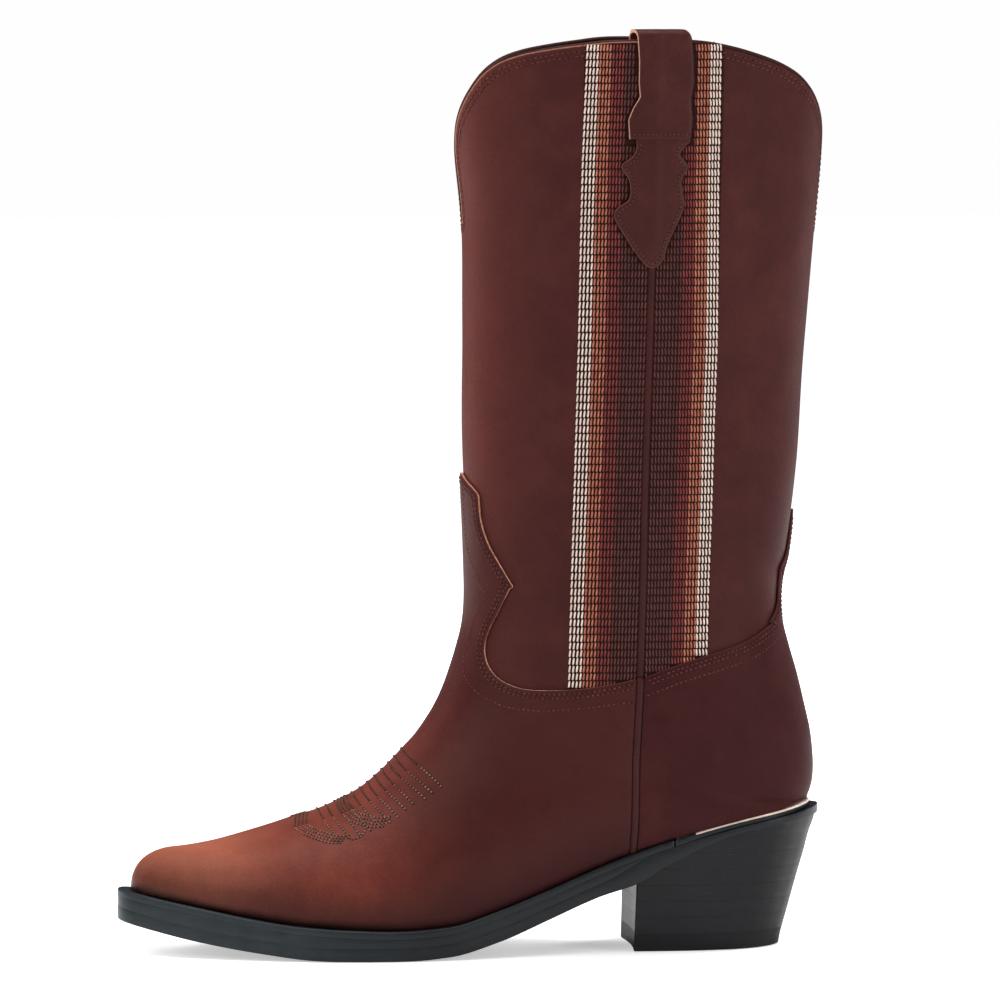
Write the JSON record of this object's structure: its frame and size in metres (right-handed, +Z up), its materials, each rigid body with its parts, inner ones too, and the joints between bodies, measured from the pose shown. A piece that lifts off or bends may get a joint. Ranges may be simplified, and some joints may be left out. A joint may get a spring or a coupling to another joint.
{
  "type": "cowboy boot",
  "caption": "Pull-on leather cowboy boot with a pointed toe, scalloped shaft, pull straps, stitched side bands and an under-slung stacked heel.",
  "frame": {"origin": "on the ground plane, under the centre of the bounding box", "axes": "+Z up, -X towards the toe, +X towards the heel, -Y towards the outer (lateral) side of this left boot"},
  "size_m": [0.2906, 0.0926, 0.3801],
  "materials": {
    "foot_leather": "smooth waxed leather, burnished lighter at the toe and instep",
    "shaft_leather": "smooth dark oxblood leather",
    "piping_leather": "smooth leather over cord",
    "strap_leather": "smooth dark oxblood leather with pale cut edges",
    "bead_leather": "dark rolled leather edge",
    "lining_leather": "unfinished tan lining leather",
    "stiffener_board": "fibrous leatherboard",
    "insole_board": "firm undyed leather",
    "cork_filler": "granulated cork",
    "steel": "plain spring steel",
    "welt_leather": "black edge dressing with a thin stitched ledge",
    "rand_leather": "pale undyed leather strip",
    "sole_leather": "black edge dressing, satin",
    "peg_wood": "pale end grain",
    "heel_leather": "stacked leather, black dressed, satin",
    "heel_rubber": "matte black rubber",
    "brass": "plain brass",
    "thread_cream": "waxed thread",
    "thread_orange": "waxed thread",
    "thread_red": "waxed thread",
    "thread_dark": "waxed thread"
  },
  "bodies": {
    "root": {"vamp": "foot_leather", "counter_foxing": "foot_leather", "shaft_front": "shaft_leather", "shaft_back": "shaft_leather", "side_piping_lateral": "piping_leather", "side_piping_medial": "piping_leather", "foot_piping_lateral": "piping_leather", "foot_piping_medial": "piping_leather", "pull_strap_lateral": "strap_leather", "pull_strap_medial": "strap_leather", "strap_tab_lateral": "strap_leather", "strap_tab_medial": "strap_leather", "topline_bead": "bead_leather", "shaft_lining_front": "lining_leather", "shaft_lining_back": "lining_leather", "vamp_lining": "lining_leather", "heel_lining": "lining_leather", "sock_liner": "lining_leather", "toe_box": "stiffener_board", "counter_stiffener": "stiffener_board", "insole_board": "insole_board", "bottom_filler": "cork_filler", "steel_shank": "steel", "heel_nail_1": "steel", "heel_nail_2": "steel", "heel_nail_3": "steel", "heel_nail_4": "steel", "welt": "welt_leather", "heel_rand": "rand_leather", "midsole": "sole_leather", "outsole": "sole_leather", "shank_peg_1": "peg_wood", "shank_peg_2": "peg_wood", "shank_peg_3": "peg_wood", "shank_peg_4": "peg_wood", "shank_peg_5": "peg_wood", "shank_peg_6": "peg_wood", "heel_lift_1": "heel_leather", "heel_lift_2": "heel_leather", "heel_lift_3": "heel_leather", "heel_lift_4": "heel_leather", "heel_lift_5": "heel_leather", "heel_lift_6": "heel_leather", "heel_lift_7": "heel_leather", "heel_cap": "heel_rubber", "cap_nail_1": "brass", "cap_nail_2": "brass", "cap_nail_3": "brass", "cap_nail_4": "brass", "cap_nail_5": "brass"}
  },
  "joints": []
}
